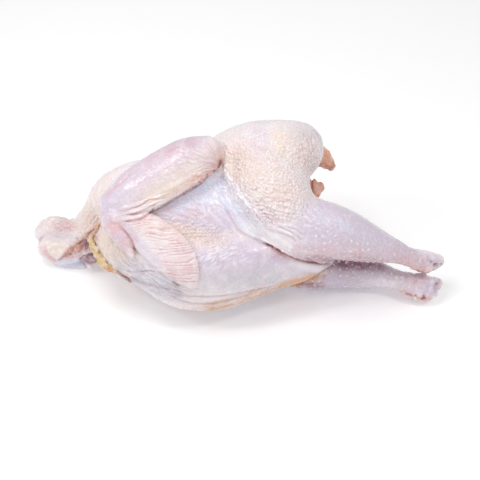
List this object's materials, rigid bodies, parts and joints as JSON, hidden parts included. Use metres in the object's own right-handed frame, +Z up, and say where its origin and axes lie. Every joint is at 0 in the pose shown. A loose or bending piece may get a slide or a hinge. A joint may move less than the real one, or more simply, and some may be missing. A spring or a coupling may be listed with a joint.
{
  "type": "dressed rooster",
  "caption": "Whole dressed rooster, plucked and drawn, head and feet off, lying on its right side with its legs stretched back.",
  "frame": {"origin": "middle of the bird's footprint box, on the surface that it lies on", "axes": "+X from the neck towards the hocks, +Y away from the breast towards the back, +Z up"},
  "size_m": [0.3794, 0.173, 0.1648],
  "materials": {
    "skin": "moist, slightly glossy raw poultry skin"
  },
  "bodies": {
    "root": {"dressed_rooster": "skin"}
  },
  "joints": []
}
